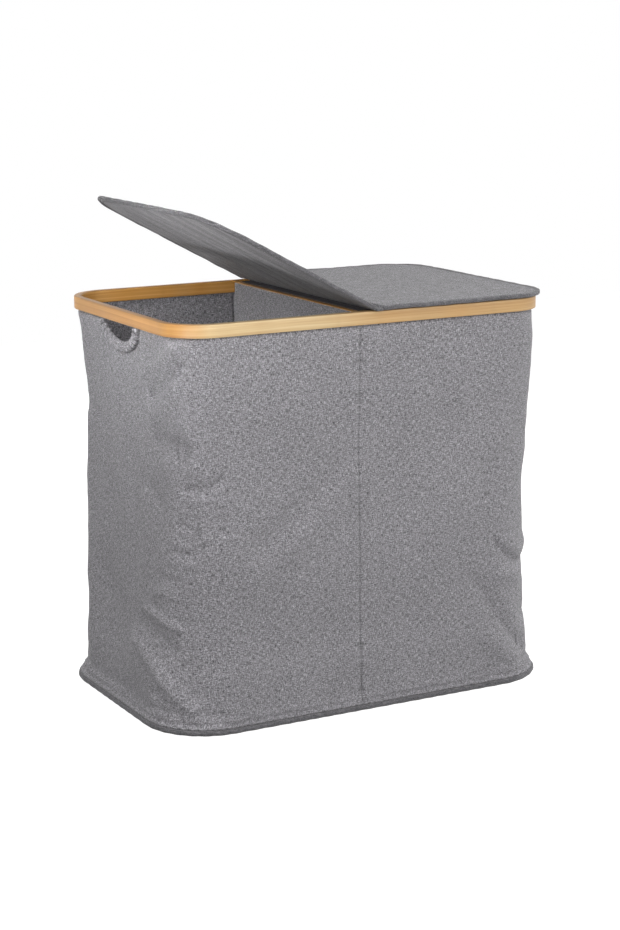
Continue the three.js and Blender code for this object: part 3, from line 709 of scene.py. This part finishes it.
def make_rim():
    """The bent strip with eased edges, the hem's groove below, and fibres that run along it."""
    ease, foot_ease, tall = STRIP_EASE, STRIP_FOOT_EASE, RIM_TOP - RIM_BOTTOM
    near, far, deep = CLOTH_INSET - 0.3 * MM, CLOTH_INSET + 3.4 * MM, HEM_TOP - RIM_BOTTOM + 0.3 * MM
    section = [
        *quarter_arc((-ease, tall - ease), ease, 0, 4)[0],
        *quarter_arc((ease - STRIP_THICK, tall - ease), ease, 1, 4)[0],
        *quarter_arc((foot_ease - STRIP_THICK, foot_ease), foot_ease, 2, 4)[0],
        (-far, 0), (-far, deep), (-near, deep), (-near, 0),
        *quarter_arc((-foot_ease, foot_ease), foot_ease, 3, 4)[0],
    ]
    places, outs = rounded_loop(RIM_X, RIM_Y, STRIP_RADIUS, 5 * MM)
    path = lifted(places, RIM_BOTTOM)
    rim = sweep("bamboo_rim", path, lifted(outs, 0), UPWARD, section, "bamboo", closed=True)
    rim.data.set_sharp_from_angle(angle=SHARP_ANGLE)
    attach(rim, "basket")
    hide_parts("rim_hoop")


def make_crossbar():
    wide, tall = (bar_high.x - bar_low.x) / 2, (bar_high.z - bar_low.z) / 2
    reach, z = RIM_Y - STRIP_THICK - 0.3 * MM, bar_high.z - tall
    path = np.linspace((0, -reach, z), (0, reach, z), 41)
    bar = sweep("bamboo_crossbar", path, OUTWARD, UPWARD, eased_box(wide, tall, 1.5 * MM), "bamboo", caps=True)
    bar.data.set_sharp_from_angle(angle=SHARP_ANGLE)
    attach(bar, "basket")
    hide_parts("rim_crossbar")


def make_piping():
    """The cord in its bias tape, with the slant wrinkles that the tape takes round it."""
    radius = FOOT_RADIUS + FOOT_INSET - PIPE_RADIUS
    places, outs = rounded_loop(FOOT_X - PIPE_RADIUS, FOOT_Y - PIPE_RADIUS, radius, 2.5 * MM)

    def slant(angle, along):
        wave = np.sin(along / (7 * MM) * 2 + angle + 1.5 * np.sin(along / (31 * MM)))
        fade = np.minimum(1, np.minimum(along, along.max() - along) / (20 * MM))
        return 1 + (0.05 * wave - 0.05) * fade

    path = lifted(places, foot_low.z + PIPE_RADIUS)
    ring = oval(PIPE_RADIUS, PIPE_RADIUS, 18)
    piping = sweep("foot_piping", path, lifted(outs, 0), UPWARD, ring, "dark_tape", closed=True, wrinkle=slant)
    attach(piping, "basket")
    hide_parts("base_piping")


def hand_path(side, grow, inset, count=90):
    """Half an ellipse under the rim at one end, with the way away from its middle."""
    angles = np.linspace(0, 2 * QUARTER, count)
    wide, deep = HAND_HALF_WIDE + grow, HAND_DEEP + grow
    y, z = -wide * np.cos(angles), RIM_BOTTOM - 0.4 * MM - deep * np.sin(angles)
    away = np.stack([0 * y, -np.cos(angles) * deep, -np.sin(angles) * wide], axis=-1)
    away /= np.linalg.norm(away, axis=1, keepdims=True)
    half_x, _, _ = body_section(z)
    return np.stack([side * (half_x - inset), y, z], axis=-1), away


def make_hand_binding(side, name, node):
    """The gathered tape that binds the hand hole's edge."""
    path, away = hand_path(side, HAND_BINDING / 2 + 1 * MM, CLOTH_THICK / 2 - 0.6 * MM, 320)

    def gathers(angle, along):
        turn = along / GATHER * 4 * QUARTER + 1.3 * np.sin(along / (13 * MM)) + 0.5 * np.sin(angle)
        crest = np.abs(np.sin(turn / 2)) ** 0.55
        return 1 + 0.9 * (crest - 0.75) * (0.25 + 0.9 * np.abs(np.cos(angle)))

    section = oval(4.0 * MM, HAND_BINDING / 2 + 0.4 * MM, 24, 0.85)
    made = sweep(name, path, side * OUTWARD, away, section, "binding", caps=True, wrinkle=gathers)
    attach(made, "basket")
    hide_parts(node)


def make_floor_cloths():
    """The bottom's inner layer, soft over its boards and sewn into the piping, and its outer layer."""
    radius = FOOT_RADIUS + FOOT_INSET - (FOOT_X - floor_high.x)
    for name, node, low, high, grow, soft, seed in (
        ("floor_cloth", "base_lining", floor_low, floor_high, 2.0 * MM, 0.5 * MM, 31),
        ("bottom_cloth", "base_panel", panel_low, panel_high, -0.5 * MM, 0.0, 37),
    ):
        x, y = rounded_grid(high.x + grow, high.y + grow, radius + grow, 110, 70)
        wave = noise_field(lifted(pairs(x, y), 0), 60 * MM, seed)
        z = high.z - soft * (0.5 + 0.5 * wave + ridge(x - SEAM_X, 3 * MM))
        points = np.stack([x, y, z], axis=-1)
        cloth = cloth_sheet(name, points, pairs(x, y), high.z - low.z - soft / 2, (0, 0, -1))
        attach(cloth, "basket")
        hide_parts(node)


def make_divider(walls):
    """The wall between the bins, hung from the crossbar and sewn to the body at both ends."""
    top, low = divider_high.z, floor_high.z + 0.3 * MM
    z = np.linspace(low, top, 110)
    ends = []
    for column in (0, -1):
        seams = [np.interp(z, wall[:, column, 2], np.abs(wall[:, column, 1])) for wall in walls.values()]
        sewn = np.min(seams, axis=0) - 0.4 * CLOTH_THICK
        end = np.where(z > RIM_BOTTOM - 1 * MM, RIM_Y - STRIP_THICK - 0.5 * MM, sewn)
        ends.append(np.where(z < WALL_FOOT, FOOT_Y - 2 * PIPE_RADIUS - 0.5 * MM, end)[:, None])
    share = np.linspace(0, 1, 80)[None]
    y = ends[1] * share - ends[0] * (1 - share)
    z = np.broadcast_to(z[:, None], y.shape)
    wave = noise_field(np.stack([0 * y, y, z], axis=-1), 70 * MM, 41, (1.0, 1.0, 0.6))
    fade = part(top - z, 60 * MM) * part(z - low, 40 * MM)
    edge = part(np.minimum(ends[1] - y, ends[0] + y), 30 * MM)
    x = (divider_low.x + divider_high.x) / 2 + 0.8 * MM + 4 * MM * wave * fade * edge
    cloth = cloth_sheet("divider_cloth", np.stack([x, y, z], axis=-1), pairs(y, z), CLOTH_THICK)
    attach(cloth, "basket")
    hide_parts("divider_panel")


def make_rod_sleeve(suffix):
    """A cloth channel sewn to the corner that holds one rod, as a bulge between two wings."""
    node = f"rod_sleeve_{suffix}"
    low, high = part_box(node)
    rod = np.array([(low.x + high.x) / 2, (low.y + high.y) / 2])
    bulge, wing = (high.x - low.x) / 2, 17 * MM
    way = np.sign(rod) * math.sqrt(0.5)
    across = np.array([-way[1], way[0]])
    z = np.linspace(low.z, high.z, 90)[:, None]
    half_x, half_y, radius = body_section(z[:, 0])
    core = pairs(half_x - radius, half_y - radius) * np.sign(rod)
    inner = (radius - CLOTH_THICK - 1.6 * MM)[:, None]
    offset = np.linspace(-wing, wing, 33)
    aside = offset + rod @ across - (core @ across)[:, None]
    wall_reach = (core @ way)[:, None] + np.sqrt(inner**2 - aside**2) - rod @ way
    round_reach = -np.sqrt(np.maximum(bulge**2 - offset**2, 0))
    pull = 1 / (1 + np.exp((np.abs(offset) - bulge * 1.35) / (1.1 * MM)))
    reach = wall_reach * (1 - pull) + round_reach * pull
    points = lifted(rod + across * offset[:, None] + way * reach[..., None], z[..., None])
    wrinkles = noise_field(points, 12 * MM, 53, (1.0, 1.0, 0.35))
    points[..., :2] -= way * (0.4 * MM * wrinkles)[..., None]
    middle = (*(rod * 1.2), 0.27)
    cloth = cloth_sheet(f"rod_channel_{suffix}", points, pairs(offset, z), 0.8 * MM, middle)
    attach(cloth, "basket")
    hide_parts(node)
    size = tuple(float(distances(grid)[:, -1].mean()) for grid in (points, points.swapaxes(0, 1)))


# Folds of a flap's lining: place across, slant, half-width and height in millimetres
LINING_FOLDS = [
    (-158, 0.08, 4, 0.7), (-121, 0.16, 5, 0.9), (-84, 0.22, 4, 0.8), (-49, 0.30, 5, 1.1), (-14, 0.32, 4, 0.9),
    (18, 0.34, 5, 1.2), (52, 0.28, 4, 1.0), (83, 0.22, 5, 1.2), (118, 0.16, 4, 1.0), (152, 0.10, 5, 0.9),
]


class Flap:
    """One lid flap in its own flat frame: x out from the fold line, y across, z up from the board's middle."""

    long = skin_high.x - JOINTS["lid_right_fold"]["pos_m"][0]
    half_wide = skin_high.y
    radius = 63.2 * MM

    def __init__(self, name, side, open_angle):
        self.name, self.side = name, side
        self.out = np.array([side * math.cos(open_angle), 0, math.sin(open_angle)])
        self.up = np.array([-side * math.sin(open_angle), 0, math.cos(open_angle)])
        self.hinge = np.array([JOINTS[f"{name}_fold"]["pos_m"][0], 0, HINGE_Z])

    def place(self, x, y, z):
        place = np.stack(np.broadcast_arrays(x, y, z), axis=-1)
        return self.hinge + place @ np.stack([self.out, ACROSS, self.up])

    def outline(self, inset):
        """Flat path round the three free sides, and its ways out."""
        spacing = 2.5 * MM
        half, long, radius = self.half_wide - inset, self.long - inset, self.radius - inset
        core = np.array([long - radius, half - radius])
        side, arc, end = (int(length / spacing) for length in (core[0], radius * QUARTER, 2 * core[1]))
        shares = round_columns((side, arc, end, arc, side))
        outs = pairs(np.cos(shares[:, 2] * QUARTER), np.sin(shares[:, 2] * QUARTER))
        return shares[:, :2] * core + radius * outs, outs

    def from_edge(self, x, y):
        """How far a place is from the nearest free side."""
        beyond_x = np.maximum(x - (self.long - self.radius), 0)
        beyond_y = np.maximum(np.abs(y) - (self.half_wide - self.radius), 0)
        corner = self.radius - np.hypot(beyond_x, beyond_y)
        straight = np.minimum(self.long - x, self.half_wide - np.abs(y))
        return np.where((beyond_x > 0) & (beyond_y > 0), corner, straight)

    def pleats(self, x, y, wave):
        """Long folds of the loose lining, which fan out from the free end and fade towards the fold line."""
        along = x / self.long
        relief = 0.8 * np.clip(1 - (y / self.half_wide) ** 2, 0, 1) + 0.5 * wave
        for at, slant, width, height in LINING_FOLDS:
            line = at * MM + slant * (x - 0.7 * self.long) + 5 * MM * wave
            start = part(1.02 - along, 0.12) * part(along - 0.04, 0.35)
            relief += height * start * np.exp(-np.abs((y - line) / (width * MM)) ** 1.4)
        return MM * relief

    def make_skin(self, name, node, top, material):
        """One face of the flap: cloth drawn over the board, soft at the edge and lightly waved or pleated."""
        half, long, radius = (size - 0.2 * MM for size in (self.half_wide, self.long, self.radius))
        x, y = rounded_grid(long, half, radius, 110, 130 if top else 300, start=0)
        flat = lifted(pairs(x, y), 0)
        seed = (61 if top else 67) + self.side
        wave = noise_field(flat, 80 * MM, seed)
        fine = noise_field(flat, 16 * MM, seed + 2, (0.4, 1.0, 1.0))
        edge = part(self.from_edge(x, y), 16 * MM)
        puff = edge * (2 - edge)
        if top:
            z = SKIN_UP + MM * (-0.5 + (0.9 + 0.5 * wave + 0.15 * fine) * puff)
        else:
            z = -(SKIN_UP - 0.4 * MM + (self.pleats(x, y, wave) + 0.25 * MM * fine) * puff)
            x, y = np.concatenate([x[:, :1], x], axis=1), np.concatenate([y[:, :1], y], axis=1)
            z = np.concatenate([np.full_like(z[:, :1], SKIN_UP - 0.9 * MM), z], axis=1)
        middle = self.place(self.long / 2, 0.0, 0.0)
        cloth = cloth_sheet(name, self.place(x, y, z), pairs(x, y), 0.7 * MM, middle, material)
        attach(cloth, self.name)
        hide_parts(node)

    def make_edge(self):
        """The tape that binds the three free sides, and the stitches along it."""
        flat, outs = self.outline(1.4 * MM)

        def wrinkle(angle, along):
            return 0.965 + 0.035 * np.sin(along / (4.3 * MM) + 1.7 * np.sin(along / (23 * MM)) + angle)

        sway = 0.7 * MM * noise_field(lifted(flat, 0), 28 * MM, 71 + self.side)
        path = self.place(flat[:, 0], flat[:, 1], sway)
        section = oval(3.4 * MM, edge_high.z - HINGE_Z, 18, 0.75) - (0.3 * MM, 0)
        away = outs @ np.stack([self.out, ACROSS])
        edge = sweep(f"{self.name}_edge", path, away, self.up, section, "dark_tape", caps=True, wrinkle=wrinkle)
        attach(edge, self.name)
        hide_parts(f"{self.name}_binding")
        seam, _ = self.outline(6.5 * MM)
        for face, row in ((1, "top"), (-1, "under")):
            line = self.place(seam[:, 0], seam[:, 1], face * (SKIN_UP + 0.1 * MM))
            stitches(f"{self.name}_stitches_{row}", line, face * self.up, self.name)

    def make_fold_strip(self):
        """The cloth that bends at the fold line, from the centre band over the flap's near edge."""
        skin = SKIN_UP + 0.8 * MM
        knots = np.array([
            (BAND_X + self.side * (BAND_HALF - 3.0 * MM), 0, band_high.z + 0.1 * MM),
            (BAND_X + self.side * (BAND_HALF - 1.0 * MM), 0, band_high.z + 0.5 * MM),
            self.place(-0.5 * MM, 0.0, 0.5 * MM), self.place(-0.1 * MM, 0.0, skin - 0.7 * MM),
            self.place(1.0 * MM, 0.0, skin), self.place(5 * MM, 0.0, skin),
            self.place(9.5 * MM, 0.0, skin - 0.2 * MM),
        ])
        steps = 5
        places = np.arange(len(knots) * steps - steps + 1) / steps
        line = smooth_rows(places, np.arange(len(knots)), knots)
        half = self.half_wide - 0.4 * MM
        y = np.linspace(-half, half, 90)[:, None]
        points = line[None] + y[..., None] * ACROSS
        along = distances(line)
        strip = cloth_sheet(f"{self.name}_fold", points, pairs(along, y), 0.8 * MM, (0, 0, 0), "lid_cloth")
        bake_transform(strip)


def make_lid():
    for name, side, angle in (("lid_left", -1, LEFT_OPEN), ("lid_right", 1, 0.0)):
        flap = Flap(name, side, angle)
        flap.make_skin(f"{name}_top_cloth", f"{name}_cover", True, "lid_cloth")
        flap.make_skin(f"{name}_under_cloth", f"{name}_lining", False, "lining")
        flap.make_edge()
        flap.make_fold_strip()


def make_centre_band():
    """The band that is held down on the crossbar, with bound ends and a row of stitches near each side."""
    wide, tall = BAND_HALF, BAND_HALF_TALL
    path = np.linspace((BAND_X, band_low.y, BAND_Z), (BAND_X, band_high.y, BAND_Z), 90)
    band = sweep("centre_band", path, OUTWARD, UPWARD, eased_box(wide, tall, 0.7 * MM), "lid_cloth", caps=True)
    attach(band, "basket")
    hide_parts("lid_centre_band")
    reach, section = wide - 0.5 * MM, oval(3.2 * MM, 1.7 * MM, 14, 0.8)
    for face, way, y in (("front", -1, band_low.y), ("back", 1, band_high.y)):
        y, z = y + way * 0.8 * MM, BAND_Z + 0.4 * MM
        line = np.linspace((BAND_X - reach, y, z), (BAND_X + reach, y, z), 12)
        end = sweep(f"centre_band_end_{face}", line, way * ACROSS, UPWARD, section, "dark_tape", caps=True)
        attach(end, "basket")
    for side, name in ((-1, "left"), (1, "right")):
        row = path + (side * (wide - 3.4 * MM), 0, tall)
        stitches(f"centre_band_stitches_{name}", row, UPWARD, "basket")


def make_body_stitches(walls):
    """Sewn rows above the piping and round the hand holes."""
    for side, points in walls.items():
        end_name = "left" if side < 0 else "right"
        z = WALL_FOOT + 10 * MM
        row = int(np.argmin(np.abs(points[:, 0, 2] - z)))
        outs = wall_surface(side, np.array([z]))[1][0]
        stitches(f"foot_stitches_{end_name}", points[row] + outs * 0.1 * MM, outs, "basket")
        path, _ = hand_path(side, HAND_BINDING + 1.8 * MM, 1.6 * MM)
        stitches(f"hand_stitches_{end_name}", path, side * OUTWARD, "basket", 2.4 * MM)


def dress_cad_nodes():
    """Materials on the solids that this script keeps."""
    finishes = {
        "steel": ("rod_front", "rod_back"), "plastic": ("rod_foot", "rod_top_cap", "hem_strip"),
        "board": ("base_board", "lid_left_board", "lid_right_board"), "tape": ("loop_tape", "hook_tape"),
    }
    for name, node in frame["nodes"].items():
        for finish, starts in finishes.items():
            if name.startswith(starts):
                node.data.materials.clear()
                node.data.materials.append(MATERIALS[finish])


def make_floor():
    """A pale floor that reads as white away from the hamper and keeps its shadow."""
    n = Nodes(bpy.data.materials.new("pale_floor"))
    n.tree.nodes.clear()
    plain = n.add("ShaderNodeBsdfDiffuse", {"Color": (0.30, 0.30, 0.30, 1)})
    shaded = n.add("ShaderNodeBsdfDiffuse", {"Color": (0.28, 0.28, 0.28, 1)})
    glow = n.add("ShaderNodeEmission", {"Strength": 0.93})
    both = n.add("ShaderNodeAddShader", {0: shaded, 1: glow})
    mixed = n.add("ShaderNodeMixShader", {0: n.seen_directly(), 1: plain, 2: both})
    n.node("ShaderNodeOutputMaterial", {"Surface": mixed})
    mesh = bpy.data.meshes.new("floor")
    half = 3.0
    corners = [(-half, -half, 0), (half, -half, 0), (half, half, 0), (-half, half, 0)]
    mesh.from_pydata(corners, [], [(0, 1, 2, 3)])
    mesh.materials.append(n.owner)
    floor = new_object("floor", mesh)


WORLD_LIGHT = 0.24


def make_world():
    """White where the camera or a reflection sees it, and a softer light on everything else."""
    n = Nodes(bpy.data.worlds.new("world"))
    bpy.context.scene.world = n.owner
    background = n.tree.nodes["Background"].inputs
    n.join((1, 1, 1, 1), background["Color"])
    n.join(n.seen_directly().map(0.0, 1.0, WORLD_LIGHT), background["Strength"])


# Area lights: place, aim, size, watts, spread in degrees, and whether reflections show them
LIGHTS = {
    "key": ((-0.25, -1.5, 1.4), (0, 0, 0.45), 0.8, 11, 180, True),
    "front": ((-0.3, -2.1, 0.95), (0, 0, 0.5), 0.7, 18.5, 180, False),
    "left": ((-1.35, -0.15, 1.2), (-0.15, 0, 0.42), 0.6, 16, 180, False),
    "inner": ((-1.2, -1.05, 1.0), (-0.16, 0.12, 0.5), 0.3, 0.12, 20, False),
    "low_left": ((-1.45, -0.9, 0.15), (-0.255, -0.06, 0.66), 0.3, 0.26, 15, True),
    "right": ((1.1, -1.5, 1.3), (0.15, 0, 0.4), 1.0, 17, 180, True),
    "behind": ((0.2, 2.1, 0.75), (0, 0, 0.35), 1.2, 34, 180, False),
    "far_right": ((1.9, 0.5, 0.75), (0, 0, 0.35), 1.0, 20, 180, False),
    "above": ((0.05, -0.1, 3.0), (0, 0, 0.3), 0.8, 11, 180, False),
}


def make_lights():
    for name, (place, aim, size, power, spread, mirrored) in LIGHTS.items():
        data = bpy.data.lights.new(name, "AREA")
        data.shape = "SQUARE"
        data.size, data.energy, data.spread = size, power, math.radians(spread)
        light = new_object(name, data)
        light.location = place
        light.rotation_euler = (Vector(aim) - Vector(place)).to_track_quat("-Z", "Y").to_euler()
        light.visible_glossy = mirrored


make_camera()
make_world()
make_lights()
make_floor()
make_rim()
make_crossbar()
walls = {
    -1: make_wall(-1, "body_cloth_left", "wall_left"),
    1: make_wall(1, "body_cloth_right", "wall_right"),
}
make_piping()
make_hand_binding(-1, "hand_binding_left", "handle_binding_left")
make_hand_binding(1, "hand_binding_right", "handle_binding_right")
make_body_stitches(walls)
make_floor_cloths()
make_divider(walls)
for corner in ("front_left", "back_left", "front_right", "back_right"):
    make_rod_sleeve(corner)
make_lid()
make_centre_band()
dress_cad_nodes()
bpy.context.scene.view_settings.view_transform = "Standard"
